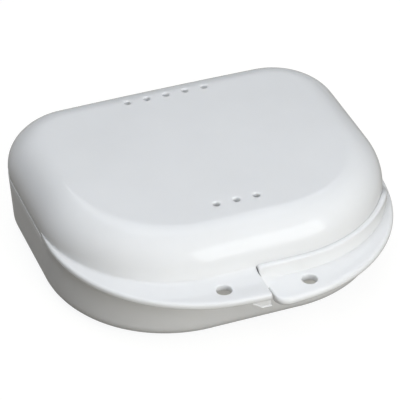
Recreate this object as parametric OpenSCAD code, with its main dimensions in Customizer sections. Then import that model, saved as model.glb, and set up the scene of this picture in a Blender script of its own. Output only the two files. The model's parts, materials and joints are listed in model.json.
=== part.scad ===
// Orthodontic retainer case: a two-part clamshell box with a pinned rear hinge.
// The lid carries the left half of the front flange and the base carries the right half.
// Each half flange is a solid of its own that meets the wall of its shell face to face.
// Units are millimetres. X is the width, the front faces -Y and the base stands on Z = 0.

/* [Shells] */
// Width of both shells
body_w = 81.2; // [77:0.2:85]
// Depth of both shells from rear wall to front wall
body_d = 67.2; // [64:0.2:72]
// Outside radius of the two rear corners
rear_corner_r = 16; // [13:0.5:19]
// Outside radius of the two front corners
front_corner_r = 31; // [30:0.5:32]
// Thickness of the moulded walls
wall = 1.6; // [1.2:0.1:2]
// Height of the gap between the two rims when the case is shut
rim_gap = 0.2; // [0.15:0.05:0.4]

/* [Lid] */
// Height of the lid from its rim to its flat top
lid_h = 10.3; // [10:0.1:14]
// Radius of the round edge between the lid's wall and its top
lid_edge_r = 8.9; // [7:0.1:8.9]

/* [Base] */
// Height of the base from the table to its rim
base_h = 15.1; // [14:0.1:18]
// How far the wall of the base leans in from the rim to the table
base_draft = 1; // [0.4:0.1:1.6]
// Radius of the round edge between the wall and the bottom
base_edge_r = 4; // [3:0.1:4.4]
// Height of the locating lip above the rim
lip_h = 1.6; // [1:0.1:2]
// Thickness of the locating lip
lip_t = 1; // [0.8:0.1:1.4]
// Space between the locating lip and the lid's wall
lip_gap = 0.3; // [0.25:0.05:0.45]

/* [Front flange] */
// How far the flange stands out in front of the shells at the middle
flange_reach = 9.7; // [8.5:0.1:11]
// Radius of the flange's front edge
flange_front_r = 79.6; // [74:0.2:90]
// Radius of the flange's edge at the two front corners
flange_corner_r = 36.2; // [35:0.2:37]
// How far the ends of the flange stop inside the side walls
flange_tuck = 0.1; // [0.1:0.05:0.3]
// Width of the thin ends of the flange, where they are cut off square
flange_end_w = 0.4; // [0.3:0.05:0.6]
// Radius along the outer edges of both flanges
flange_edge_r = 0.6; // [0.3:0.05:0.65]
// Width of the seam between the two half flanges
seam_gap = 1.6; // [1.2:0.1:2]
// Place of the seam across the width
seam_x = -0.4; // [-2:0.1:2]

/* [Lid flange] */
// Thickness of the lid's half flange
lid_flange_t = 1.6; // [1.4:0.1:1.8]
// How far the lid's half flange hangs below the lid's rim
lid_flange_drop = 0.45; // [0.3:0.05:0.5]
// Space between the hanging part of the flange and the base's wall
skirt_gap = 0.35; // [0.3:0.05:0.5]
// Width of the thumb lug under the flange beside the seam
lug_w = 4.4; // [3:0.1:6]
// Height of the thumb lug
lug_h = 1.2; // [0.8:0.1:1.5]
// Thickness of the thumb lug
lug_t = 2; // [1.5:0.1:3]

/* [Base flange] */
// Thickness of the base's half flange
base_flange_t = 1.9; // [1.6:0.1:2.2]
// How far the top of the base's half flange lies below the rim
base_flange_drop = 1.3; // [1:0.1:1.8]
// Plan radius of the flange corner at the seam
seam_corner_r = 3; // [1.5:0.1:4]
// Height of the collar above the top of the base's flange
collar_h = 3.7; // [3:0.1:4]
// Thickness of the collar
collar_t = 1.1; // [0.9:0.05:1.3]
// Space between the collar and the lid's wall
collar_gap = 0.25; // [0.2:0.05:0.35]
// Radius of the collar's upper corner at the seam
collar_end_r = 1.2; // [0.8:0.1:1.8]

/* [Holes] */
// Diameter of the hang hole in each half flange
hang_hole_d = 3.6; // [3:0.1:4.2]
// Distance of each hang hole from the middle
hang_hole_x = 10.1; // [8:0.1:13]
// Distance of each hang hole behind the flange's front edge
hang_hole_in = 5.3; // [4.5:0.1:5.8]
// Diameter of the air vents
vent_d = 1.8; // [1.2:0.1:2.4]
// Distance between neighbouring vents
vent_pitch = 4.76; // [4:0.02:5.5]
// Number of vents along the rear of the top
rear_vents = 5; // [3:1:7]
// Number of vents near the front of the top
front_vents = 3; // [1:1:5]
// Distance of the rear vents from the rear wall
rear_vent_in = 9.4; // [9:0.1:14]
// Distance of the front vents from the front wall
front_vent_in = 13.4; // [11:0.1:18]

/* [Hinge] */
// Distance between the two hinges
hinge_spacing = 32; // [28:0.5:34]
// Distance of the hinge axis behind the rear wall
hinge_offset = 2.3; // [2.3:0.05:3]
// Diameter of the hinge knuckles
knuckle_d = 4; // [3.6:0.1:4]
// Length of each lid knuckle
lid_knuckle_l = 6; // [4:0.2:7]
// Length of each base knuckle
base_knuckle_l = 3; // [2:0.2:3.6]
// Height of the webs that join the knuckles to the shells
web_h = 1.5; // [1.2:0.1:1.6]
// Space between neighbouring knuckles
knuckle_gap = 0.25; // [0.2:0.05:0.4]
// Diameter of the hinge pins
pin_d = 1.6; // [1.4:0.1:1.8]
// Running clearance around a pin inside the lid's knuckle
pin_clear = 0.05; // [0.03:0.01:0.08]
// Chamfer on the ends of the pins
pin_chamfer = 0.2; // [0.1:0.05:0.3]

/* [Hidden] */
$fn = 96;
cut = 1;
half_w = body_w / 2;

// Heights
lid_rim_z = base_h + rim_gap;
case_h = lid_rim_z + lid_h;
lid_flange_z = lid_rim_z - lid_flange_drop;
base_flange_top = base_h - base_flange_drop;
base_flange_z = base_flange_top - base_flange_t;
collar_top = base_flange_top + collar_h;
axis_z = base_h + rim_gap / 2;

// Depth positions, with the whole part centred on Y = 0
knuckle_r = knuckle_d / 2;
case_d = flange_reach + body_d + hinge_offset + knuckle_r;
tip_y = -case_d / 2;
front_y = tip_y + flange_reach;
rear_y = front_y + body_d;
axis_y = rear_y + hinge_offset;

// Corner centres of the shell outline
front_cx = half_w - front_corner_r;
front_cy = front_y + front_corner_r;
rear_cx = half_w - rear_corner_r;
rear_cy = rear_y - rear_corner_r;

// Arc centres of the flange outline, where the arcs run into each other without a kink
flange_cx = half_w - flange_tuck - flange_corner_r;
flange_front_cy = tip_y + flange_front_r;
flange_turn = asin(flange_cx / (flange_front_r - flange_corner_r));
flange_cy = flange_front_cy - (flange_front_r - flange_corner_r) * cos(flange_turn);
flange_band = flange_reach + 2 * wall;

// Depth at which the flange's corner arc stands w outside the shells: the crossing of two circles
function end_y(w) =
  let (
    link = [flange_cx - front_cx, flange_cy - front_cy],
    span = norm(link),
    along = (pow(front_corner_r + w, 2) - pow(flange_corner_r, 2) + pow(span, 2)) / (2 * span),
    aside = sqrt(pow(front_corner_r + w, 2) - pow(along, 2))
  )
  front_cy + (along * link[1] + aside * link[0]) / span;
flange_end_y = end_y(flange_end_w);
skirt_end_y = end_y(flange_end_w + skirt_gap);
collar_end_y = end_y(flange_end_w + collar_gap + flange_edge_r / 2);

// Seam ends of the half flanges
lid_seam_x = seam_x - seam_gap / 2;
base_seam_x = seam_x + seam_gap / 2;

// Wall of the base, which leans in by base_draft over its height
slope = norm([base_draft, base_h]);
foot_x = -base_draft - base_edge_r * (slope - base_draft) / base_h;
wall_n = [base_h, -base_draft] / slope;
function base_outside(z) = -base_draft * (1 - z / base_h);

// Half the wall, which is how far solids that join a wall reach into it
root = wall / 2;

// Widths of the flat strips that join the swept walls to the top and bottom plates
strip = 2;
lid_sweep = lid_edge_r + strip;
base_sweep = -foot_x + strip;

// Locating lip, measured from the shell outline
lip_out = -wall - lip_gap;
lip_in = lip_out - lip_t;

// Hinge pieces
pin_r = pin_d / 2;
hinge_half = lid_knuckle_l / 2 + knuckle_gap + base_knuckle_l;

// Sweeps a flat section round the shell outline. Section x = 0 lies on the outline, +x points outwards.
module sweep_outline() {
  for (side = [0, 1]) {
    mirror([side, 0, 0]) {
      translate([front_cx, front_cy, 0])
        rotate([0, 0, -90])
          rotate_extrude(angle = 90)
            translate([front_corner_r, 0])
              children();
      translate([rear_cx, rear_cy, 0])
        rotate_extrude(angle = 90)
          translate([rear_corner_r, 0])
            children();
      translate([half_w, rear_cy, 0])
        rotate([90, 0, 0])
          linear_extrude(rear_cy - front_cy)
            children();
    }
  }
  translate([front_cx, front_y, 0])
    rotate([90, 0, -90])
      linear_extrude(2 * front_cx)
        children();
  translate([-rear_cx, rear_y, 0])
    rotate([90, 0, 90])
      linear_extrude(2 * rear_cx)
        children();
}

// Sweeps a flat section round the right front of the outline only, starting at the seam.
module sweep_right_front() {
  translate([front_cx, front_y, 0])
    rotate([90, 0, -90])
      linear_extrude(front_cx - base_seam_x)
        children();
  translate([front_cx, front_cy, 0])
    rotate([0, 0, -90])
      rotate_extrude(angle = 90)
        translate([front_corner_r, 0])
          children();
}

// Plan of the shells, moved in by the given inset.
module outline(inset) {
  polygon([
    [-rear_cx, rear_y - inset],
    [-half_w + inset, rear_cy],
    [-half_w + inset, front_cy],
    [-front_cx, front_y + inset],
    [front_cx, front_y + inset],
    [half_w - inset, front_cy],
    [half_w - inset, rear_cy],
    [rear_cx, rear_y - inset]
  ]);
  for (side = [-1, 1]) {
    translate([side * front_cx, front_cy])
      circle(front_corner_r - inset);
    translate([side * rear_cx, rear_cy])
      circle(rear_corner_r - inset);
  }
}

// Plate or cutter with the plan of the shells between two heights.
module slab(inset, z0, z1) {
  translate([0, 0, z0])
    linear_extrude(z1 - z0)
      outline(inset);
}

// Quarter of a round-edged block: right side, top, edge radius, bottom and left side.
module round_edge(right, top, r, bottom, left) {
  translate([left, bottom])
    square([right - r - left, top - bottom]);
  translate([left, bottom])
    square([right - left, top - r - bottom]);
  translate([right - r, top - r])
    intersection() {
      circle(r);
      square(r);
    }
}

module lid_section() {
  difference() {
    round_edge(0, case_h, lid_edge_r, lid_rim_z, -lid_sweep);
    round_edge(-wall, case_h - wall, lid_edge_r - wall, lid_rim_z - cut, -lid_sweep - cut);
  }
}

// Outside or inside face of the leaning wall and the round edge at its foot.
module base_edge(r, floor_z, left, top) {
  foot = [foot_x, base_edge_r];
  reach = base_edge_r - r;
  polygon([
    [left, floor_z],
    [foot_x, floor_z],
    foot + r * wall_n,
    [base_outside(top) - reach * slope / base_h, top],
    [left, top]
  ]);
  translate(foot)
    intersection() {
      circle(r);
      translate([0, -r])
        square([r, 2 * r]);
    }
}

module base_section() {
  difference() {
    base_edge(base_edge_r, 0, -base_sweep, base_h);
    base_edge(base_edge_r - wall, wall, -base_sweep - cut, base_h + cut);
  }
}

// Space behind the leaning wall near the rim, to trim what meets the wall from outside.
module behind_wall_section() {
  low = base_flange_z - cut;
  high = base_h + cut;
  polygon([
    [-2 * wall, low],
    [base_outside(low), low],
    [base_outside(high), high],
    [-2 * wall, high]
  ]);
}

module lip_section() {
  polygon([
    [-root, base_h],
    [lip_out, base_h],
    [lip_out, base_h + lip_h],
    [lip_in, base_h + lip_h],
    [lip_in, base_h - lip_h],
    [-root, base_h - lip_h - lip_t - lip_gap - wall]
  ]);
}

module collar_section() {
  foot_z = base_flange_top - base_flange_t / 2;
  translate([-root, foot_z])
    square([root + collar_gap + collar_t, base_h - foot_z]);
  translate([collar_gap, base_flange_top])
    square([collar_t, collar_h - collar_t / 2]);
  translate([collar_gap + collar_t / 2, collar_top - collar_t / 2])
    circle(collar_t / 2);
}

// Section of a half flange: x runs out to the flange's edge at 0.
module flange_section(t) {
  translate([-flange_band, 0])
    square([flange_band - flange_edge_r, t]);
  translate([-flange_edge_r, flange_edge_r])
    square([flange_edge_r, t - 2 * flange_edge_r]);
  for (z = [flange_edge_r, t - flange_edge_r])
    translate([-flange_edge_r, z])
      circle(flange_edge_r);
}

// Right half of the flange ring at the given height, from the middle to the tip of its corner arc.
module flange_ring(z, t) {
  translate([0, flange_front_cy, z])
    rotate([0, 0, -90])
      rotate_extrude(angle = flange_turn)
        translate([flange_front_r, 0])
          flange_section(t);
  translate([flange_cx, flange_cy, z])
    rotate([0, 0, flange_turn - 90])
      rotate_extrude(angle = 90 - flange_turn)
        translate([flange_corner_r, 0])
          flange_section(t);
}

// Both halves of the ring, cut off at the seam: side -1 keeps the left part, +1 the right part.
module half_flange(side, end_x, z, t) {
  difference() {
    union() {
      flange_ring(z, t);
      mirror([1, 0, 0])
        flange_ring(z, t);
    }
    translate([end_x - (side + 1) * half_w, tip_y - cut, z - cut])
      cube([body_w, case_d, t + 2 * cut]);
    translate([-body_w, flange_end_y, z - cut])
      cube([2 * body_w, case_d, t + 2 * cut]);
    slab(root, z - cut, z + t + cut);
  }
}

module hang_hole(side, z, t) {
  translate([side * hang_hole_x, tip_y + hang_hole_in, z - cut])
    cylinder(d = hang_hole_d, h = t + 2 * cut);
}

module vents() {
  for (i = [0 : rear_vents - 1])
    translate([(i - (rear_vents - 1) / 2) * vent_pitch, rear_y - rear_vent_in, case_h - lid_edge_r])
      cylinder(d = vent_d, h = lid_edge_r + cut);
  for (i = [0 : front_vents - 1])
    translate([(i - (front_vents - 1) / 2) * vent_pitch, front_y + front_vent_in, case_h - lid_edge_r])
      cylinder(d = vent_d, h = lid_edge_r + cut);
}

// Thumb lug: a small tooth with one slanted side, hanging from the lid flange beside the seam.
module lug() {
  translate([lid_seam_x, tip_y + flange_edge_r / 2 + lug_t, 0])
    rotate([90, 0, 0])
      linear_extrude(lug_t)
        polygon([
          [0, lid_flange_z + lid_flange_t / 2],
          [-lug_w, lid_flange_z + lid_flange_t / 2],
          [-lug_w, lid_flange_z],
          [-lug_w / 2, lid_flange_z - lug_h],
          [0, lid_flange_z - lug_h]
        ]);
}

// Cylinder along X on the hinge axis.
module on_axis(x, r, l) {
  translate([x - l / 2, axis_y, axis_z])
    rotate([0, 90, 0])
      cylinder(r = r, h = l);
}

module lid_knuckle(x) {
  on_axis(x, knuckle_r, lid_knuckle_l);
  translate([x - lid_knuckle_l / 2, rear_y - root, lid_rim_z])
    cube([lid_knuckle_l, hinge_offset + root, web_h]);
}

module base_knuckles(x) {
  for (side = [-1, 1]) {
    mid = x + side * (hinge_half - base_knuckle_l / 2);
    on_axis(mid, knuckle_r, base_knuckle_l);
    translate([mid - base_knuckle_l / 2, rear_y - root, base_h - web_h])
      cube([base_knuckle_l, hinge_offset + root, web_h]);
  }
}

module pin(x) {
  on_axis(x, pin_r, 2 * (hinge_half - pin_chamfer));
  for (side = [0, 1])
    translate([x, axis_y, axis_z])
      mirror([side, 0, 0])
        translate([hinge_half - pin_chamfer, 0, 0])
          rotate([0, 90, 0])
            cylinder(r1 = pin_r, r2 = pin_r - pin_chamfer, h = pin_chamfer);
}

module lid() {
  color([0.94, 0.94, 0.93])
    difference() {
      union() {
        sweep_outline()
          lid_section();
        slab(lid_edge_r + strip / 2, case_h - wall, case_h);
        for (side = [-1, 1])
          lid_knuckle(side * hinge_spacing / 2);
      }
      vents();
      for (side = [-1, 1])
        on_axis(side * hinge_spacing / 2, pin_r + pin_clear, lid_knuckle_l + 2 * knuckle_gap);
    }
}

// Left half flange with the thumb lug. It meets the lid's wall, and hangs clear of the base's wall.
module lid_flange() {
  color([0.95, 0.95, 0.94])
    difference() {
      union() {
        half_flange(-1, lid_seam_x, lid_flange_z, lid_flange_t);
        lug();
      }
      slab(0, lid_flange_z - cut, lid_flange_z + lid_flange_t + cut);
      slab(-skirt_gap, lid_flange_z - cut, lid_rim_z);
      translate([-body_w, skirt_end_y, lid_flange_z - cut])
        cube([body_w, case_d, lid_flange_drop + cut]);
      hang_hole(-1, lid_flange_z, lid_flange_t);
    }
}

// Plan corner taken off the base flange where it meets the seam.
module seam_corner() {
  translate([base_seam_x, tip_y, base_flange_z - cut])
    linear_extrude(base_flange_t + 2 * cut)
      difference() {
        translate([-cut, -cut])
          square(seam_corner_r + cut);
        translate([seam_corner_r, seam_corner_r])
          circle(seam_corner_r);
      }
}

module collar() {
  intersection() {
    sweep_right_front()
      collar_section();
    translate([flange_cx, flange_cy, base_flange_z])
      cylinder(r = flange_corner_r - flange_edge_r / 2, h = collar_top - base_flange_z + cut);
    translate([0, collar_end_y, 0])
      rotate([90, 0, 0])
        linear_extrude(case_d)
          mirror([1, 0])
            round_edge(-base_seam_x, collar_top, collar_end_r, 0, -body_w);
  }
}

module base() {
  color([0.92, 0.92, 0.91])
    difference() {
      union() {
        sweep_outline()
          base_section();
        slab(-foot_x + strip / 2, 0, wall);
        sweep_outline()
          lip_section();
        for (side = [-1, 1])
          base_knuckles(side * hinge_spacing / 2);
      }
      for (side = [-1, 1])
        on_axis(side * hinge_spacing / 2, pin_r, 2 * hinge_half + cut);
    }
}

// Right half flange with the collar that stands in front of the lid's wall.
module base_flange() {
  color([0.93, 0.93, 0.92])
    difference() {
      union() {
        difference() {
          half_flange(1, base_seam_x, base_flange_z, base_flange_t);
          seam_corner();
        }
        collar();
      }
      sweep_outline()
        behind_wall_section();
      hang_hole(1, base_flange_z, base_flange_t);
    }
}

module hinge_pin_left() {
  color([0.72, 0.73, 0.75])
    pin(-hinge_spacing / 2);
}

module hinge_pin_right() {
  color([0.72, 0.73, 0.75])
    pin(hinge_spacing / 2);
}

lid();
lid_flange();
base();
base_flange();
hinge_pin_left();
hinge_pin_right();
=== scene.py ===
"""Dresses the retainer case: two glossy white mouldings, their steel hinge pins and a pale studio."""

import json
import logging
import math
from collections.abc import Callable
from dataclasses import dataclass, replace
from enum import Enum

import bmesh
import bpy
import numpy as np
from mathutils import Matrix, Vector

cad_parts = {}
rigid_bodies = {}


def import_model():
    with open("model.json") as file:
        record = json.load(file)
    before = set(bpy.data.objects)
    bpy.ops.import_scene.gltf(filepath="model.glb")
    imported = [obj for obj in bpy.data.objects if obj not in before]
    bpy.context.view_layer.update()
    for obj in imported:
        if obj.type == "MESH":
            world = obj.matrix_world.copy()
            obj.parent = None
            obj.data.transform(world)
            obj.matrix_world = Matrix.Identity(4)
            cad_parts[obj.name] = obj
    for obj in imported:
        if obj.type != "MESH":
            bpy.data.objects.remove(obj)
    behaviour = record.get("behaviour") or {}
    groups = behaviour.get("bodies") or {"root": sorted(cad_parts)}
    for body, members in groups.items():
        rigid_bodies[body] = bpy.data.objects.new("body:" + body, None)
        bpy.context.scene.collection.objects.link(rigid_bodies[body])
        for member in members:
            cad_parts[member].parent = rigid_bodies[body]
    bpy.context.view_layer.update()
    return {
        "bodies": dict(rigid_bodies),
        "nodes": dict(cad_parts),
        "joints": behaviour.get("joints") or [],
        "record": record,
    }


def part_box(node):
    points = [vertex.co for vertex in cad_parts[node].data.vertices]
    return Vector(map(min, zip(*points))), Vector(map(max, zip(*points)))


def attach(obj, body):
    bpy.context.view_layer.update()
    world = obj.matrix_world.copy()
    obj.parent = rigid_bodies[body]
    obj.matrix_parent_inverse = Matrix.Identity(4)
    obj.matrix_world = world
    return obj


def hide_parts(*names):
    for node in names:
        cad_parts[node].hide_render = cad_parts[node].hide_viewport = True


Array = np.ndarray
Colour = tuple[float, float, float]
Height = Callable[[Array], Array]
Place = Callable[[Array, Array], Array]
Socket = bpy.types.NodeSocket

LOG = logging.getLogger("retainer_case")
MM = 0.001
QUARTER = math.pi / 2
HINGE_JOINT = "lid_hinge"
SMOOTH_LIMIT = math.radians(42)

# Least width of a thin section in millimetres, and the most that a cove or a round edge takes of a width.
SLIVER = 0.02
COVE_SHARE, EDGE_SHARE, ROUND_SHARE = 0.4, 0.45, 0.48

# Range that nearly all values of a noise texture lie in.
NOISE_LOW, NOISE_HIGH = 0.3, 0.7

# Sockets of a colour mix node by number, since their names repeat.
MIX_SHARE, MIX_FIRST, MIX_SECOND, MIX_RESULT = 0, 6, 7, 2


class Side(Enum):
    """Half of the case that carries a half flange, with its direction along X."""

    LEFT = -1
    RIGHT = 1


class Slot(Enum):
    """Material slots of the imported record."""

    PLASTIC = "shell_plastic"
    STEEL = "pin_steel"


def quarter(steps: int) -> Array:
    """Even angles over a quarter turn, in radians."""
    return np.linspace(0, QUARTER, steps + 1)


def stacked(*axes: Array | float) -> Array:
    """Points from their separate coordinates, any of which may be one number."""
    return np.stack(np.broadcast_arrays(*axes), axis=-1)


def compass(angles: Array) -> Array:
    """Directions at angles in radians: their cosines and sines."""
    return stacked(np.cos(angles), np.sin(angles))


def unit(vectors: Array) -> Array:
    """Rows of the same direction and of length one."""
    return vectors / np.linalg.norm(vectors, axis=1, keepdims=True)


def eased(share: Array) -> Array:
    """Cubic from nought to one that is level at both ends."""
    return share**2 * (3 - 2 * share)


def arc(centre: tuple[float, float], radius: float, start: float, end: float, steps: int) -> Array:
    """Points of a circular arc: the centre plus the radius times the directions of an even sweep."""
    return np.array(centre) + radius * compass(np.linspace(start, end, steps + 1))


def round_drop(distance: Array, radius: float) -> Array:
    """Fall of a round edge near its end: the radius less the root of its square less the run's square."""
    run = radius - np.clip(distance, 0, radius)
    return radius - np.sqrt(radius**2 - run**2)


def joined(rows: list[tuple[Array, Array]]) -> Array:
    """One section per station, from groups of offsets and heights that follow each other."""
    return np.stack([np.concatenate(part, axis=1) for part in zip(*rows)], axis=-1)


@dataclass(frozen=True)
class Path:
    """Stations along a plan curve, each with a centre, an outward direction and a radius."""

    centre: Array
    out: Array
    radius: Array

    @staticmethod
    def straight(points: Array, out: tuple[float, float]) -> "Path":
        """Stations on a straight line, which all face the same way."""
        return Path(points, np.broadcast_to(np.array(out, float), points.shape), np.zeros(len(points)))

    @staticmethod
    def turn(centre: tuple[float, float], radius: float, out: Array) -> "Path":
        """Stations on a circle, in the given directions from its centre."""
        return Path(np.broadcast_to(np.array(centre, float), out.shape), out, np.full(len(out), radius))

    @staticmethod
    def join(*parts: "Path") -> "Path":
        """One path made of several that follow each other."""
        columns = zip(*((p.centre, p.out, p.radius) for p in parts))
        return Path(*(np.concatenate(column) for column in columns))

    def at(self, offset: Array) -> Array:
        """Plan points beside the curve: the centre plus the direction times radius plus offset."""
        reach = self.radius[:, None] + offset
        return self.centre[:, None] + self.out[:, None] * reach[..., None]

    def sweep(self, profile: Array) -> Array:
        """Carries a profile of offsets and heights along the path.

        Args:
            profile: rows of (offset, height), shared by all stations or one set per station.

        Returns:
            Grid of stations by rows of points in space.
        """
        spread = np.broadcast_to(profile, (len(self.radius), *profile.shape[-2:]))
        return np.concatenate([self.at(spread[..., 0]), spread[..., 1:]], axis=-1)


@dataclass(frozen=True)
class RoundHole:
    """Round hole with soft rims, in millimetres."""

    middle: Array
    radius: float
    rim: float
    rim_steps: int = 3
    ease_steps: int = 2


def window(grid: Array, first: Array, second: Array) -> Array:
    """Point numbers round a rectangular window of a grid, in order.

    Args:
        grid: point numbers in two directions.
        first: lines of the first direction that the window spans.
        second: lines of the second direction that the window spans.

    Returns:
        Closed loop of point numbers, without repeating its start.
    """
    return np.concatenate([
        grid[first[:-1], second[0]],
        grid[first[-1], second[:-1]],
        grid[first[:0:-1], second[-1]],
        grid[first[0], second[:0:-1]],
    ])


class Skin:
    """Closed surfaces under construction, in millimetres, that end as one mesh."""

    def __init__(self) -> None:
        """Starts with no points and no faces."""
        self.blocks: list[Array] = []
        self.faces: list[Array] = []
        self.count = 0

    def add(self, points: Array) -> Array:
        """Stores points and gives each a number, in the same layout.

        Args:
            points: array whose last axis is x, y, z.

        Returns:
            Numbers of the points.
        """
        size = points[..., 0].size
        numbers = self.count + np.arange(size).reshape(points.shape[:-1])
        self.blocks.append(points.reshape(-1, 3))
        self.count += size
        return numbers

    def points(self, numbers: Array) -> Array:
        """Points that the numbers stand for."""
        return np.concatenate(self.blocks)[numbers]

    def quads(
        self, grid: Array, keep: Array | None = None, wrap_first: bool = False, wrap_second: bool = True
    ) -> None:
        """Joins neighbours of a grid of point numbers by four-sided faces.

        Args:
            grid: point numbers in two directions.
            keep: mask of the faces to make, or None for all of them.
            wrap_first: whether the last line of the first direction joins the first one.
            wrap_second: the same for the second direction.
        """
        along = np.roll(grid, -1, axis=0)
        across = np.roll(grid, -1, axis=1)
        both = np.roll(along, -1, axis=1)
        cells = np.stack([grid, along, both, across], axis=-1)
        mask = np.ones(grid.shape, bool) if keep is None else keep.copy()
        mask[-1] &= wrap_first
        mask[:, -1] &= wrap_second
        self.faces.append(cells[mask])

    def cap(self, loop: Array, rings: int = 0) -> None:
        """Closes a ring of points by smaller rings, scaled about its middle, and a fan of triangles.

        Args:
            loop: numbers of the points on the ring.
            rings: number of smaller rings.
        """
        edge = self.points(loop)
        middle = edge.mean(axis=0)
        shrink = np.linspace(1, 0, rings + 2)[1:-1, None, None]
        rows = np.vstack([loop, self.add(middle + (edge - middle) * shrink)])
        self.quads(rows)
        last = rows[-1]
        hub = np.full(len(loop), self.add(middle[None])[0])
        self.faces.append(np.stack([last, np.roll(last, -1), hub], axis=-1))

    def close(self, grid: Array, keep: Array | None = None) -> None:
        """Makes a tube of a grid that wraps in its second direction, and caps both its ends.

        Args:
            grid: point numbers in two directions.
            keep: mask of the faces to make, or None for all of them.
        """
        self.quads(grid, keep)
        self.cap(grid[0])
        self.cap(grid[-1])

    def reshape(self, change: Callable[[Array], Array]) -> None:
        """Passes all points through a change of place."""
        self.blocks = [change(np.concatenate(self.blocks))]

    def bore(
        self, grid: Array, keep: Array, lines: Array, rows: tuple[Array, Array],
        hole: RoundHole, faces: tuple[Height, Height],
    ) -> None:
        """Opens a window in both faces of a plate and joins the two by a round hole with soft rims.

        Every ring lies at the hole's middle plus a direction times a radius. The directions point at the
        upper window's own points, so the rings pass smoothly from the window to the circle.

        Args:
            grid: point numbers of the plate.
            keep: mask of the plate's faces, cleared here inside both windows.
            lines: lines of the first direction that the windows span.
            rows: lines of the second direction that the upper and the lower window span.
            hole: place and size of the hole.
            faces: heights of the upper and the lower face over plan points.
        """
        span = slice(lines.min(), lines.max())
        keep[span, rows[0][:-1]] = False
        keep[span, rows[1][1:]] = False
        loops = [window(grid, lines, row) for row in rows]
        plans = [self.points(loop)[:, :2] for loop in loops]
        ray = unit(plans[0] - hole.middle)
        lip = quarter(hole.rim_steps)[:, None, None]
        rings = hole.middle + ray * (hole.radius + hole.rim * (1 - np.sin(lip)))
        sink = hole.rim * (1 - np.cos(lip[..., 0]))
        flat_ring = hole.middle + ray * (hole.radius + hole.rim)
        ease = np.linspace(0, 1, hole.ease_steps + 2)[1:-1, None, None]
        upper_ease = plans[0] + (flat_ring - plans[0]) * ease
        lower_ease = flat_ring + (plans[1] - flat_ring) * ease
        upper, lower = faces
        plan = np.concatenate([upper_ease, rings, rings[::-1], lower_ease])
        height = np.concatenate([
            upper(upper_ease),
            upper(rings) - sink,
            lower(rings[::-1]) + sink[::-1],
            lower(lower_ease),
        ])
        numbers = self.add(np.concatenate([plan, height[..., None]], axis=-1))
        self.quads(np.vstack([loops[0], numbers, loops[1]]))

    def piece(self, name: str) -> bpy.types.Object:
        """Makes the mesh object, in metres, with outward faces and smooth shading.

        Args:
            name: name of the piece.

        Returns:
            The new object, at the origin and linked to the scene.
        """
        mesh = bpy.data.meshes.new(name)
        faces = [face for block in self.faces for face in block.tolist()]
        mesh.from_pydata((np.concatenate(self.blocks) * MM).tolist(), [], faces)
        work = bmesh.new()
        work.from_mesh(mesh)
        bmesh.ops.recalc_face_normals(work, faces=work.faces)
        work.to_mesh(mesh)
        work.free()
        mesh.shade_smooth()
        mesh.set_sharp_from_angle(angle=SMOOTH_LIMIT)
        piece = bpy.data.objects.new(name, mesh)
        bpy.context.scene.collection.objects.link(piece)
        return piece


def fuse(name: str, skins: list[Skin]) -> bpy.types.Object:
    """Welds closed skins that overlap into one closed surface without inner faces.

    Args:
        name: name of the piece.
        skins: the skins, of which the first is the largest.

    Returns:
        The new object, at the origin and linked to the scene.
    """
    shells = [skin.piece(f"{name}_{number}") for number, skin in enumerate(skins)]
    for shell in shells[1:]:
        weld = shells[0].modifiers.new(shell.name, "BOOLEAN")
        weld.operation = "UNION"
        weld.solver = "MANIFOLD"
        weld.object = shell
    solid = shells[0].evaluated_get(bpy.context.evaluated_depsgraph_get())
    mesh = bpy.data.meshes.new_from_object(solid)
    mesh.name = name
    mesh.materials.clear()
    mesh.set_sharp_from_angle(angle=SMOOTH_LIMIT)
    piece = bpy.data.objects.new(name, mesh)
    bpy.context.scene.collection.objects.link(piece)
    for shell in shells:
        bpy.data.meshes.remove(shell.data)
    return piece


def settle(
    piece: bpy.types.Object, body: str, nodes: tuple[str, ...], finish: bpy.types.Material
) -> None:
    """Gives a piece its finish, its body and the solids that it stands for.

    Args:
        piece: the finished object.
        body: body that it rides on.
        nodes: solids that it replaces.
        finish: its material.
    """
    piece.data.materials.append(finish)
    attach(piece, body)
    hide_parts(*nodes)
    LOG.info("%s rides on %s and has %d faces", piece.name, body, len(piece.data.polygons))


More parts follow.
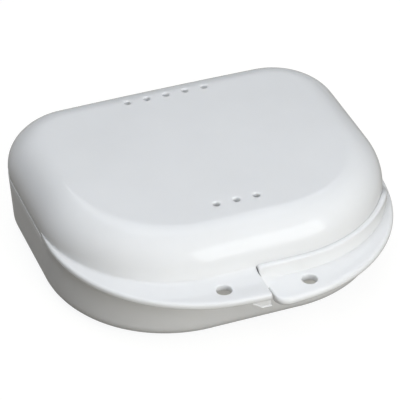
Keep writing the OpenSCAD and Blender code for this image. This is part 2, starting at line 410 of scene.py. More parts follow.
@dataclass(frozen=True)
class CasePlan:
    """Plan and heights that both shells share, in millimetres."""

    half_w: float
    front_y: float
    axis_y: float
    axis_z: float
    top_z: float
    hinge_offset: float = 2.3
    front_r: float = 31.0
    rear_r: float = 16.0
    wall: float = 1.6
    rim_gap: float = 0.2
    flange_reach: float = 9.7
    flange_front_r: float = 79.6
    flange_corner_r: float = 35.3
    flange_out: float = 0.12
    front_steps: int = 64
    rear_steps: int = 40
    side_steps: int = 14

    @classmethod
    def from_frame(cls, frame: dict) -> "CasePlan":
        """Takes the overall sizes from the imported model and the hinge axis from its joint.


        Returns:
            The plan.
        """
        low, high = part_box("lid")
        axis = next(joint["pos_m"] for joint in frame["joints"] if joint["name"] == HINGE_JOINT)
        return cls(high.x / MM, low.y / MM, axis[1] / MM, axis[2] / MM, high.z / MM)

    @property
    def rear_y(self) -> float:
        """Rear wall of the shells."""
        return self.axis_y - self.hinge_offset

    @property
    def base_rim_z(self) -> float:
        """Upper rim of the base."""
        return self.axis_z - self.rim_gap / 2

    @property
    def lid_rim_z(self) -> float:
        """Lower rim of the lid."""
        return self.axis_z + self.rim_gap / 2

    @property
    def tip_y(self) -> float:
        """Foremost point of the flange."""
        return self.front_y - self.flange_reach

    @property
    def front_corner(self) -> Array:
        """Centre of the right front corner."""
        return np.array([self.half_w - self.front_r, self.front_y + self.front_r])

    @property
    def rear_corner(self) -> Array:
        """Centre of the right rear corner."""
        return np.array([self.half_w - self.rear_r, self.rear_y - self.rear_r])

    def outline(self, front_x: Array, rear_x: Array) -> Path:
        """Closed path round the shells, counter-clockwise from the left end of the front wall.

        Args:
            front_x: stations across the front wall, from left to right.
            rear_x: stations across the rear wall, from left to right.

        Returns:
            The path, whose last station joins the first.
        """
        fx, fy = self.front_corner
        rx, ry = self.rear_corner
        side_y = np.linspace(fy, ry, self.side_steps + 1)
        front_turn, rear_turn = quarter(self.front_steps)[:-1], quarter(self.rear_steps)[:-1]
        front, rear = stacked(front_x, self.front_y), stacked(rear_x, self.rear_y)
        right, left = stacked(self.half_w, side_y), stacked(-self.half_w, side_y)
        return Path.join(
            Path.straight(front[:-1], (0, -1)),
            Path.turn((fx, fy), self.front_r, compass(front_turn - QUARTER)),
            Path.straight(right[:-1], (1, 0)),
            Path.turn((rx, ry), self.rear_r, compass(rear_turn)),
            Path.straight(rear[:0:-1], (0, 1)),
            Path.turn((-rx, ry), self.rear_r, compass(rear_turn + QUARTER)),
            Path.straight(left[:0:-1], (-1, 0)),
            Path.turn((-fx, fy), self.front_r, compass(front_turn + 2 * QUARTER)),
        )

    def flange_reach_along(self, path: Path) -> Array:
        """Distance from the shell to the flange's edge along each station's direction.

        The edge is a wide front arc that runs into two corner arcs without a kink. A ray meets a circle
        where the squared distance to its centre equals the squared radius.

        Args:
            path: stations on the shell outline.

        Returns:
            One distance per station, below zero where the flange ends inside the wall.
        """
        start = path.at(np.zeros(1))[:, 0]
        side = np.sign(start[:, 0])
        corner_x = self.half_w + self.flange_out - self.flange_corner_r
        spread = self.flange_front_r - self.flange_corner_r
        turn = math.asin(corner_x / spread)
        front_cy = self.tip_y + self.flange_front_r
        corner_cy = front_cy - spread * math.cos(turn)
        circles = (
            (np.array([0.0, front_cy]), self.flange_front_r),
            (stacked(side * corner_x, corner_cy), self.flange_corner_r),
        )
        hits = []
        for centre, radius in circles:
            lead = start - centre
            along = (lead * path.out).sum(axis=1)
            hits.append(np.sqrt(along**2 - (lead**2).sum(axis=1) + radius**2) - along)
        front_x = start[:, 0] + path.out[:, 0] * hits[0]
        return np.where(np.abs(front_x) <= self.flange_front_r * math.sin(turn), hits[0], hits[1])


@dataclass(frozen=True)
class VentRow:
    """Row of air vents across one end of the lid's top, in millimetres."""

    count: int
    inset: float
    diameter: float = 1.4
    pitch: float = 4.76
    rim: float = 0.36
    cells: int = 8
    spare: int = 8

    def stations(self, half_length: float) -> Array:
        """Places across the wall: even cells under the vents and a few more out to the corners.

        Args:
            half_length: half the length of the straight wall.

        Returns:
            Places from left to right.
        """
        edge = self.count * self.pitch / 2
        middle = np.linspace(-edge, edge, self.count * self.cells + 1)
        outer = np.linspace(edge, half_length, self.spare + 1)[1:]
        return np.concatenate([-outer[::-1], middle, outer])

    def middles(self, wall_y: float, inwards: int) -> Array:
        """Middles of the vents, at even pitch beside a wall whose inside lies at +1 or -1 along Y."""
        x = (np.arange(self.count) - (self.count - 1) / 2) * self.pitch
        return stacked(x, wall_y + inwards * self.inset)


@dataclass(frozen=True)
class LidDome:
    """Domed lid shell with its vents, in millimetres."""

    plan: CasePlan
    edge_r: float = 8.9
    rim_r: float = 0.1
    rim_in: float = 0.12
    inner_rim_r: float = 0.2
    rear: VentRow = VentRow(count=5, inset=8.9)
    front: VentRow = VentRow(count=3, inset=13.8)
    crown: float = 0.4
    crown_drop: float = 0.33
    edge_steps: int = 22
    rim_steps: int = 4
    inner_rim_steps: int = 3
    top_rows: int = 16
    cap_rings: int = 10
    plate_margin: float = 0.1

    @property
    def edge_z(self) -> float:
        """Height at which the round edge starts."""
        return self.plan.top_z - self.edge_r

    @property
    def radii(self) -> tuple[float, float]:
        """Radii of the round edge on the outer and the inner face."""
        return self.edge_r, self.edge_r - self.plan.wall

    def height(self, offset: Array, radius: float) -> Array:
        """Height of a round edge over its offset: level inside the edge's centre, a circle outside it."""
        run = np.clip(offset + self.edge_r, 0, radius)
        return self.edge_z + np.sqrt(radius**2 - run**2)

    def profile(self) -> tuple[Array, Array]:
        """Outer rows from the rim to the plate of the top, and inner rows back to the rim.

        Returns:
            Two arrays of (offset, height). The rows over the vents have the same offsets in both.
        """
        rim, wall = self.plan.lid_rim_z, self.plan.wall
        last = self.plan.rear_r - self.plate_margin
        level = -np.linspace(self.rear.inset - self.rear.pitch / 2, last, self.top_rows)
        turned = self.inner_rim_r
        rims = (
            arc((-self.rim_in - self.rim_r, rim + self.rim_r), self.rim_r, -QUARTER, 0, self.rim_steps),
            arc((turned - wall, rim + turned), turned, -QUARTER, -2 * QUARTER, self.inner_rim_steps),
        )
        sides = []
        for start, radius in zip(rims, self.radii):
            stop = math.acos((level[0] + self.edge_r) / radius)
            bend = arc((-self.edge_r, self.edge_z), radius, 0, stop, self.edge_steps)
            sides.append(np.concatenate([start, bend[:-1], stacked(level, self.height(level, radius))]))
        return sides[0], sides[1][::-1]

    def build(self) -> Skin:
        """Sweeps the profile round the outline, fills the top and pierces it with the vents.

        Returns:
            The dome's closed skin.
        """
        skin = Skin()
        plan = self.plan
        front_x = self.front.stations(plan.front_corner[0])
        rear_x = self.rear.stations(plan.rear_corner[0])
        outer, inner = self.profile()
        split = len(outer)
        grid = skin.add(plan.outline(front_x, rear_x).sweep(np.concatenate([outer, inner])))
        keep = np.ones(grid.shape, bool)
        keep[:, split - 1] = False
        corners = plan.front_steps + plan.side_steps + plan.rear_steps
        rear_last = len(front_x) + corners + len(rear_x) - 2
        rows = (
            (self.rear, plan.rear_y, -1, rear_last - np.arange(len(rear_x)), split - self.top_rows),
            (self.front, plan.front_y, 1, np.arange(len(front_x)), split - 1 - self.front.cells),
        )
        for row, wall_y, inwards, stations, first_row in rows:
            upper = first_row + np.arange(row.cells + 1)
            lower = 2 * split - 1 - upper
            faces = tuple(self.top_face(wall_y, inwards, radius) for radius in self.radii)
            for number, middle in enumerate(row.middles(wall_y, inwards)):
                first = row.spare + number * row.cells
                lines = stations[first:first + row.cells + 1]
                hole = RoundHole(middle, row.diameter / 2, row.rim)
                skin.bore(grid, keep, lines, (upper, lower), hole, faces)
        skin.quads(grid, keep, wrap_first=True)
        skin.cap(grid[:, split - 1], self.cap_rings)
        skin.cap(grid[:, split], self.cap_rings)
        skin.reshape(self.crowned)
        return skin

    def crowned(self, points: Array) -> Array:
        """Swells the top: a paraboloid over the plan, less the drop, eased in by a cubic over the edge.

        Args:
            points: rows of x, y, z.

        Returns:
            The moved points.
        """
        plan = self.plan
        middle_y = (plan.front_y + plan.rear_y) / 2
        half_y = (plan.rear_y - plan.front_y) / 2
        spread = (points[:, 0] / plan.half_w) ** 2 + ((points[:, 1] - middle_y) / half_y) ** 2
        share = np.clip((points[:, 2] - self.edge_z) / (self.edge_r - plan.wall), 0, 1)
        lift = (self.crown * (1 - spread) - self.crown_drop) * eased(share)
        return points + stacked(0.0, 0.0, lift)

    def top_face(self, wall_y: float, inwards: int, radius: float) -> Height:
        """Height of the top's outer or inner face over plan points beside one straight wall."""
        return lambda plan: self.height(inwards * (wall_y - plan[..., 1]), radius)


@dataclass(frozen=True)
class BaseTray:
    """Open base shell with a leaning wall, a round foot and a locating lip, in millimetres."""

    plan: CasePlan
    draft: float = 1.0
    foot_r: float = 4.0
    corner_fill: float = 0.6
    rim_r: float = 0.3
    lip_gap: float = 0.3
    lip_t: float = 1.0
    lip_h: float = 1.6
    lip_r: float = 0.35
    floor_inset: float = 15.0
    foot_steps: int = 10
    inner_foot_steps: int = 6
    round_steps: int = 4
    floor_steps: int = 6
    wall_steps: int = 6
    straight_steps: int = 24
    cap_rings: int = 6

    @property
    def lean(self) -> float:
        """Angle between the wall and the vertical, in radians."""
        return math.atan(self.draft / self.plan.base_rim_z)

    @property
    def foot_offset(self) -> float:
        """Offset of the round foot's centre, which touches the floor and the leaning wall."""
        return -self.draft - self.foot_r * (1 / math.cos(self.lean) - math.tan(self.lean))

    def outside(self, height: Array | float) -> Array | float:
        """Offset of the leaning outer wall at a height: a straight line from the rim to the table."""
        return (height / self.plan.base_rim_z - 1) * self.draft

    def profile(self) -> Array:
        """Rows from the middle of the underside round the rim and the lip to the middle of the floor.

        Returns:
            Array of (offset, height).
        """
        rim, wall = self.plan.base_rim_z, self.plan.wall
        foot = (self.foot_offset, self.foot_r)
        outer_foot = arc(foot, self.foot_r, -QUARTER, -self.lean, self.foot_steps)
        inner_foot = arc(foot, self.foot_r - wall, -self.lean, -QUARTER, self.inner_foot_steps)
        level = np.linspace(-self.floor_inset, self.foot_offset, self.floor_steps + 1)[:-1]
        edge_z = rim - self.rim_r
        climb = np.linspace(outer_foot[-1, 1], edge_z, self.wall_steps + 1)[1:]
        edge_at = (self.outside(edge_z) - self.rim_r, edge_z)
        edge = arc(edge_at, self.rim_r, 0, QUARTER, self.round_steps)[1:]
        lip_out = -wall - self.lip_gap
        lip_in = lip_out - self.lip_t
        bend_z = rim + self.lip_h - self.lip_r
        lip = np.concatenate([
            [[lip_out + self.rim_r, rim], [lip_out, rim + self.rim_r / 2]],
            arc((lip_out - self.lip_r, bend_z), self.lip_r, 0, QUARTER, self.round_steps),
            arc((lip_in + self.lip_r, bend_z), self.lip_r, QUARTER, 2 * QUARTER, self.round_steps),
            [[lip_in, rim - self.lip_h]],
        ])
        thick = wall / math.cos(self.lean)
        root_z = rim - 2 * self.lip_h
        descent = np.linspace(root_z, inner_foot[0, 1], self.wall_steps + 1)[:-1]
        return np.concatenate([
            stacked(level, 0.0),
            outer_foot,
            stacked(self.outside(climb), climb),
            edge,
            lip,
            stacked(self.outside(descent) - thick, descent),
            inner_foot,
            stacked(level[::-1], wall),
        ])

    def build(self) -> Skin:
        """Sweeps the profile round the outline and fills the underside and the floor.

        The outside is a little fuller at the foot of the front corners: a share that grows towards the
        table, times the sine of twice the turn.

        Returns:
            The tray's closed skin.
        """
        skin = Skin()
        plan = self.plan
        across = np.linspace(-1, 1, self.straight_steps + 1)
        outline = plan.outline(across * plan.front_corner[0], across * plan.rear_corner[0])
        profile = self.profile()
        outer = np.arange(len(profile)) < np.argmax(profile[:, 1] > plan.base_rim_z - self.rim_r)
        low = np.where(outer, 1 - profile[:, 1] / plan.base_rim_z, 0)
        corner = np.clip(-2 * np.abs(outline.out[:, 0]) * outline.out[:, 1], 0, 1)
        fuller = np.broadcast_to(profile, (len(corner), *profile.shape)).copy()
        fuller[..., 0] += self.corner_fill * corner[:, None] * low
        grid = skin.add(outline.sweep(fuller))
        skin.quads(grid, wrap_first=True, wrap_second=False)
        skin.cap(grid[:, 0], self.cap_rings)
        skin.cap(grid[:, -1], self.cap_rings)
        return skin


@dataclass(frozen=True)
class FlangeForm:
    """Rounds, cove and skirt of a half flange, which differ between the lid and the base, in millimetres."""

    seam_corner_r: float
    seam_edge_r: float
    cove_r: float
    cove_wide: float
    cove_lift: float
    skirt_gap: float
    edge_r: float = 0.6


@dataclass(frozen=True)
class HalfFlange:
    """Half of the front flange with its hang hole, in millimetres.

    The root is how far the section reaches into the wall, the weld how far the cove's foot overlaps it, and
    the skirt the section's step beside the wall. The hole's window spans hole_half to both sides.
    """

    plan: CasePlan
    side: Side
    seam_x: float
    low: float
    thickness: float
    skirt_z: float
    form: FlangeForm
    cove_run: float = 40.0
    root: float = 0.8
    hole_d: float = 3.45
    hole_x: float = 10.1
    hole_in: float = 5.3
    hole_rim: float = 0.3
    corner_steps: int = 72
    probe_count: int = 576
    front_steps: int = 22
    seam_steps: int = 12
    flat_steps: int = 12
    bend_steps: int = 5
    hole_half: float = 3.3
    weld: float = 0.04

    @property
    def high(self) -> float:
        """Top of the flange."""
        return self.low + self.thickness

    def path(self) -> Path:
        """Stations on the shell from the tip of the flange to the seam, closest together at the seam.

        Returns:
            The path, with its first station where the flange's edge leaves the side wall.
        """
        plan, way = self.plan, self.side.value
        fine = np.linspace(0, QUARTER, self.probe_count)
        tip = np.interp(0.0, plan.flange_reach_along(self.corner_path(fine)), fine)
        corner = self.corner_path(np.linspace(tip, QUARTER, self.corner_steps + 1))
        close = way * self.seam_x + self.form.seam_corner_r
        run = np.linspace(plan.front_corner[0], close, self.front_steps + 1)[1:]
        end = close - self.form.seam_corner_r * np.cos(quarter(self.seam_steps)[-2::-1])
        front = stacked(way * np.concatenate([run, end]), plan.front_y)
        return Path.join(corner, Path.straight(front, (0, -1)))

    def corner_path(self, angles: Array) -> Path:
        """Stations on the shell's front corner, at angles from the side wall towards the front."""
        (cx, cy), way = self.plan.front_corner, self.side.value
        return Path.turn((way * cx, cy), self.plan.front_r, compass(angles) * [way, -1])

    def from_seam(self, path: Path) -> Array:
        """Distance of each station from the seam end, measured across the width."""
        return self.side.value * (path.at(np.zeros(1))[:, 0, 0] - self.seam_x)

    def profile(self, path: Path) -> Array:
        """Closed section at each station: a cove at the wall, a flat top, a round edge and a flat underside.

        The cove is a quarter ellipse that widens towards the seam.

        Args:
            path: stations from path().

        Returns:
            Stations by rows of (offset, height). The flat rows come second and fourth.
        """
        form = self.form
        run = self.from_seam(path)
        width = self.plan.flange_reach_along(path) - round_drop(run, form.seam_corner_r)
        shrink = round_drop(run, form.seam_edge_r)
        width = np.maximum(width, SLIVER)[:, None]
        high = (self.high - shrink)[:, None]
        low = (self.low + shrink)[:, None]
        near = np.clip(1 - run / self.cove_run, 0, 1)[:, None]
        cove_out, cove_up = (
            np.minimum(form.cove_r + (size - form.cove_r) * near, COVE_SHARE * width)
            for size in (form.cove_wide, form.cove_lift)
        )
        edge = np.minimum(np.minimum(form.edge_r, EDGE_SHARE * width), ROUND_SHARE * (high - low))
        gap = np.minimum(form.skirt_gap, width / 2)
        bend = quarter(self.bend_steps)
        share = np.linspace(0, 1, self.flat_steps + 1)
        full = np.ones_like(share)
        rows = [
            (np.full_like(width, -self.root), high + cove_up),
            (cove_out * (1 - np.cos(bend)) - self.weld * np.cos(bend), high + cove_up * (1 - np.sin(bend))),
            (cove_out + (width - edge - cove_out) * share[1:-1], high * full[1:-1]),
            (width - edge + edge * np.sin(bend), high - edge + edge * np.cos(bend)),
            (width - edge + edge * np.cos(bend), low + edge - edge * np.sin(bend)),
            (width - edge + (gap - width + edge) * share[1:], low * full[1:]),
            (gap, np.full_like(width, self.skirt_z)),
            (np.full_like(width, -self.root), np.full_like(width, self.skirt_z)),
        ]
        return joined(rows)

    def build(self) -> Skin:
        """Carries the section along the shell, closes both ends and pierces the hang hole.

        Returns:
            The flange's closed skin.
        """
        skin = Skin()
        path = self.path()
        grid = skin.add(path.sweep(self.profile(path)))
        keep = np.ones(grid.shape, bool)
        way = self.side.value
        middle = np.array([way * self.hole_x, self.plan.tip_y + self.hole_in])
        across = self.from_seam(path) + way * self.seam_x
        lines = np.flatnonzero(np.abs(across - self.hole_x) < self.hole_half)
        first_flat = self.bend_steps + 1
        lip_rows = 2 * self.bend_steps + 1
        upper = first_flat + np.arange(1, self.flat_steps)
        lower = first_flat + self.flat_steps + lip_rows + np.arange(self.flat_steps - 1, 0, -1)
        hole = RoundHole(middle, self.hole_d / 2, self.hole_rim)
        skin.bore(grid, keep, lines, (upper, lower), hole, (self.level(self.high), self.level(self.low)))
        skin.close(grid, keep)
        return skin

    @staticmethod
    def level(height: float) -> Height:
        """Height of a flat face over plan points."""
        return lambda plan: np.full(plan.shape[:-1], height)


@dataclass(frozen=True)
class Collar:
    """Upright band on the base flange that stands in front of the lid's wall, in millimetres.

    Its height rises and its thickness swells over the stated reaches of the flange, from the least share
    to the whole. The cove at its foot is a crease along the band and a blend beside the seam.
    """

    flange: HalfFlange
    height: float = 3.7
    thickness: float = 1.2
    gap: float = 0.04
    end_r: float = 0.75
    edge_r: float = 0.5
    inner_edge_r: float = 0.06
    edge_inset: float = 0.3
    rise_from: float = 0.9
    rise_to: float = 3.2
    swell_to: float = 2.2
    least: float = 0.06
    crease_r: float = 0.18
    blend_out: float = 4.2
    blend_up: float = 2.4
    blend_run: float = 7.0
    bend_steps: int = 5

    def build(self) -> Skin:
        """Carries the band's section from its tip to the seam and closes both ends.

        Returns:
            The collar's closed skin.
        """
        skin = Skin()
        path = self.flange.path()
        reach = self.flange.plan.flange_reach_along(path)
        begin = np.flatnonzero(reach > self.rise_from)[0]
        path = Path(path.centre[begin:], path.out[begin:], path.radius[begin:])
        skin.close(skin.add(path.sweep(self.profile(path, reach[begin:, None]))))
        return skin

    def profile(self, path: Path, reach: Array) -> Array:
        """Closed section at each station: an upright with a round top and a cove at its foot.

        The cove is tight along the band and widens towards the seam, and the top falls away in a round
        end there. At the other end the band rises out of the flange along a cubic ease over the
        flange's own reach.

        Args:
            path: stations on the shell.
            reach: the flange's reach at each station, as a column.

        Returns:
            Stations by rows of (offset, height).
        """
        flange = self.flange
        rise = np.clip((reach - self.rise_from) / (self.rise_to - self.rise_from), 0, 1)
        swell = np.clip((reach - self.rise_from) / (self.swell_to - self.rise_from), self.least, 1)
        reach = reach - self.edge_inset
        inside = np.full_like(reach, self.gap)
        outside = inside + np.minimum(self.thickness, reach - self.gap) * swell
        run = flange.from_seam(path)
        tall = self.height * np.maximum(eased(rise), self.least) - round_drop(run, self.end_r)[:, None]
        top = flange.high + tall
        edge = np.minimum(np.minimum(self.edge_r, ROUND_SHARE * (outside - inside)), EDGE_SHARE * tall)
        inner_edge = np.minimum(self.inner_edge_r, edge)
        near = np.clip(1 - run / self.blend_run, 0, 1)[:, None] ** 2
        cove_out = self.crease_r + (self.blend_out - self.crease_r) * near
        cove_out = np.minimum(cove_out, np.maximum(reach - outside, SLIVER))
        cove_up = np.minimum(self.crease_r + (self.blend_up - self.crease_r) * near, EDGE_SHARE * tall)
        foot = (flange.high - round_drop(run, flange.form.seam_edge_r))[:, None]
        root = np.full_like(outside, -flange.root)
        sunk = np.full_like(outside, flange.high - flange.thickness / 2)
        rim = np.minimum(flange.plan.base_rim_z, top - inner_edge)
        bend = quarter(self.bend_steps)
        return joined([
            (root, sunk),
            (outside + cove_out, sunk),
            (outside + cove_out * (1 - np.sin(bend)), foot + cove_up * (1 - np.cos(bend))),
            (outside - edge + edge * np.cos(bend), top - edge + edge * np.sin(bend)),
            (inside + inner_edge * (1 - np.sin(bend)), top - inner_edge * (1 - np.cos(bend))),
            (inside, rim),
            (root, rim),
        ])


def soft_prism(
    section: Array, ends: tuple[float, float], edge_r: float, place: Place, steps: int = 4
) -> Array:
    """Rings of a prism with round end edges: the section moves in along its normals towards both ends.

    Args:
        section: counter-clockwise loop of two coordinates.
        ends: where the prism starts and stops along its axis.
        edge_r: radius of the round edges.
        place: turns axis places and section points into points in space.
        steps: number of chords in a round edge.

    Returns:
        Points, from one end to the other by points of the loop.
    """
    tangent = np.roll(section, -1, axis=0) - np.roll(section, 1, axis=0)
    normal = unit(stacked(tangent[:, 1], -tangent[:, 0]))
    bend = quarter(steps)
    run, inset = edge_r * (1 - np.sin(bend)), edge_r * (1 - np.cos(bend))
    along = np.concatenate([ends[0] + run, ends[1] - run[::-1]])
    inset = np.concatenate([inset[::-1], inset])
    return place(along[:, None], section - normal * inset[:, None, None])


@dataclass(frozen=True)
class ThumbLug:
    """Small tooth with one slanted side under the lid flange beside the seam, in millimetres."""

    flange: HalfFlange
    width: float = 4.6
    height: float = 1.7
    thickness: float = 2.0
    setback: float = 0.3
    edge_r: float = 0.25
    side_points: int = 6

    def build(self) -> Skin:
        """Pulls the tooth's outline from front to back with soft edges and closes both ends.

        Returns:
            The lug's closed skin.
        """
        skin = Skin()
        flange = self.flange
        right = flange.seam_x
        foot = flange.low - self.height
        root = flange.low + flange.thickness / 2
        corners = np.array([
            [right, root],
            [right - self.width, root],
            [right - self.width, flange.low],
            [right - self.width / 2, foot],
            [right, foot],
        ])
        share = np.linspace(0, 1, self.side_points, endpoint=False)[:, None]
        sides = corners[:, None] + (np.roll(corners, -1, axis=0) - corners)[:, None] * share
        front = flange.plan.tip_y + self.setback
        ends = (front, front + self.thickness)
        skin.close(skin.add(soft_prism(sides.reshape(-1, 2), ends, self.edge_r, self.place)))
        return skin

    @staticmethod
    def place(along: Array, loop: Array) -> Array:
        """Points in space for places from front to back and points of the outline."""
        return stacked(loop[..., 0], along, loop[..., 1])


@dataclass(frozen=True)
class Knuckle:
    """Bored hinge knuckle with the web that joins it to a shell, in millimetres."""

    plan: CasePlan
    start: float
    length: float
    bore_r: float
    web_up: bool
    radius: float = 2.0
    web_h: float = 1.5
    root: float = 0.8
    edge_r: float = 0.22
    barrel_steps: int = 40

    def section(self) -> Array:
        """Loop of the web and the barrel about the axis: two straight flanks and most of a circle.

        Returns:
            Counter-clockwise points of (distance behind the axis, height over the axis).
        """
        near = self.plan.rim_gap / 2
        far = near + self.web_h
        back = -self.plan.hinge_offset - self.root
        begin = math.pi - math.asin(near / self.radius)
        end = 3 * math.pi - math.asin(far / self.radius)
        barrel = arc((0, 0), self.radius, begin, end, self.barrel_steps)
        loop = np.concatenate([[[back, far], [back, near]], barrel])
        return loop if self.web_up else (loop * [1, -1])[::-1]

    def build(self) -> Skin:
        """Pulls the section along the axis with soft edges and lines the bore.

        The bore's rings lie at the bore radius in the direction of the section's own points.

        Returns:
            The knuckle's closed skin.
        """
        skin = Skin()
        section = self.section()
        ends = (self.start, self.start + self.length)
        grid = skin.add(soft_prism(section, ends, self.edge_r, self.place))
        rings = np.broadcast_to(unit(section) * self.bore_r, (2, *section.shape))
        lining = skin.add(self.place(np.array(ends[::-1])[:, None], rings))
        skin.quads(np.vstack([grid, lining, grid[:1]]))
        return skin

    def place(self, along: Array, loop: Array) -> Array:
        """Points in space for places along the axis and section points about it."""
        return stacked(along, self.plan.axis_y + loop[..., 0], self.plan.axis_z + loop[..., 1])


@dataclass(frozen=True)
class HingePin:
    """Drawn steel hinge pin with softly turned ends, in millimetres."""

    plan: CasePlan
    node: str
    turn_steps: int = 40
    length_steps: int = 24
    bend_steps: int = 5
    end_r: float = 0.25

    def build(self) -> bpy.types.Object:
        """Turns a profile of places along the axis and radii round the axis.

        Returns:
            The pin's mesh object.
        """
        low, high = (np.array(corner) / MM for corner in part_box(self.node))
        radius = (high[2] - low[2]) / 2
        bend = quarter(self.bend_steps)
        shaft = np.linspace(low[0] + self.end_r, high[0] - self.end_r, self.length_steps + 1)[1:-1]
        run, fall = self.end_r * (1 - np.cos(bend)), self.end_r * (1 - np.sin(bend))
        along = np.concatenate([low[0] + run, shaft, high[0] - run[::-1]])[:, None]
        reach = radius - np.concatenate([fall, np.zeros_like(shaft), fall[::-1]])[:, None]
        turn = np.linspace(0, 2 * math.pi, self.turn_steps, endpoint=False)
        y, z = self.plan.axis_y + reach * np.cos(turn), self.plan.axis_z + reach * np.sin(turn)
        skin = Skin()
        skin.close(skin.add(stacked(along, y, z)))
        return skin.piece(f"{self.node}_turned")

    def dress(self, finish: bpy.types.Material) -> None:
        """Builds the pin and settles it on the base in place of its solid."""
        settle(self.build(), "base_body", (self.node,), finish)


@dataclass(frozen=True)
class Hinge:
    """Places of the two pinned hinges, in millimetres."""

    plan: CasePlan
    spacing: float = 32.0
    lid_length: float = 6.0
    base_length: float = 3.0
    gap: float = 0.25
    pin_r: float = 0.8
    clearance: float = 0.05

    def lid_knuckles(self) -> list[Knuckle]:
        """The middle knuckle of each hinge, which turns with the lid."""
        bore_r = self.pin_r + self.clearance
        return self.knuckles((-self.lid_length / 2,), self.lid_length, bore_r, web_up=True)

    def base_knuckles(self) -> list[Knuckle]:
        """The two outer knuckles of each hinge, which grip the pins."""
        half = self.lid_length / 2 + self.gap
        return self.knuckles((-half - self.base_length, half), self.base_length, self.pin_r, web_up=False)

    def knuckles(
        self, starts: tuple[float, ...], length: float, bore_r: float, web_up: bool
    ) -> list[Knuckle]:
        """Knuckles at the same places of both hinges, from left to right.

        Args:
            starts: where the knuckles of one hinge start, from its middle.
            length: length of each knuckle.
            bore_r: radius of its bore.
            web_up: whether its web stands above the axis.

        Returns:
            The knuckles of the left hinge and then those of the right one.
        """
        middles = [side.value * self.spacing / 2 for side in Side]
        return [
            Knuckle(self.plan, middle + start, length, bore_r, web_up)
            for middle in middles
            for start in starts
        ]


class NodeSketch:
    """Small helper that adds and links the nodes of one material."""

    def __init__(self, name: str) -> None:
        """Makes an empty node material.

        Args:
            name: name of the material.
        """
        self.material = bpy.data.materials.new(name)
        self.material.use_nodes = True
        self.tree = self.material.node_tree
        self.tree.nodes.clear()

    def add(self, kind: str, inputs: dict | None = None, **settings: object) -> bpy.types.Node:
        """Adds a node, sets its properties, and sets or links its inputs.

        Args:
            kind: Blender's name of the node type.
            inputs: values, or sockets to link from, by input name or number.
            settings: properties of the node.

        Returns:
            The node.
        """
        node = self.tree.nodes.new(kind)
        for name, value in settings.items():
            setattr(node, name, value)
        for name, value in (inputs or {}).items():
            if isinstance(value, Socket):
                self.tree.links.new(value, node.inputs[name])
            else:
                node.inputs[name].default_value = value
        return node

    def place(self) -> Socket:
        """Adds object coordinates and returns them."""
        return self.add("ShaderNodeTexCoord").outputs["Object"]

    def noise(self, place: Socket, scale: float, detail: float, roughness: float = 0.5) -> Socket:
        """Adds a noise texture of so many waves per metre and returns its factor."""
        inputs = {"Vector": place, "Scale": scale, "Detail": detail, "Roughness": roughness}
        return self.add("ShaderNodeTexNoise", inputs).outputs["Fac"]

    def math(self, operation: str, *values: Socket | float) -> Socket:
        """Adds a math node over one to three values and returns its result."""
        return self.add("ShaderNodeMath", dict(enumerate(values)), operation=operation).outputs[0]

    def ramp(
        self, factor: Socket, first: Colour, second: Colour, low: float = NOISE_LOW, high: float = NOISE_HIGH
    ) -> Socket:
        """Adds a colour ramp over a factor.

        Args:
            factor: what the ramp reads.
            first: colour up to the low value.
            second: colour from the high value.
            low: factor at which the colour starts to change.
            high: factor at which it has changed.

        Returns:
            The colour.
        """
        node = self.add("ShaderNodeValToRGB", {"Fac": factor})
        for element, stop, colour in zip(node.color_ramp.elements, (low, high), (first, second)):
            element.position = stop
            element.color = (*colour, 1.0)
        return node.outputs["Color"]

    def spread(self, factor: Socket, low: float, high: float) -> Socket:
        """Adds a map from the usual range of a noise to a range of values and returns the value."""
        ends = {"From Min": NOISE_LOW, "From Max": NOISE_HIGH, "To Min": low, "To Max": high}
        return self.add("ShaderNodeMapRange", {"Value": factor, **ends}).outputs["Result"]

    def bump(self, height: Socket, strength: float, depth: float) -> Socket:
        """Adds a bump of a depth in metres and returns its normal."""
        inputs = {"Height": height, "Strength": strength, "Distance": depth}
        return self.add("ShaderNodeBump", inputs).outputs["Normal"]

    def mix(self, factor: Socket, first: Socket, second: Colour) -> Socket:
        """Adds a mix of a linked colour and a fixed one by the second one's share and returns the colour."""
        inputs = {MIX_SHARE: factor, MIX_FIRST: first, MIX_SECOND: (*second, 1.0)}
        return self.add("ShaderNodeMix", inputs, data_type="RGBA").outputs[MIX_RESULT]

    def finish(self, shader: Socket) -> bpy.types.Material:
        """Links a shader to the material's output and returns the material."""
        self.add("ShaderNodeOutputMaterial", {"Surface": shader})
        return self.material


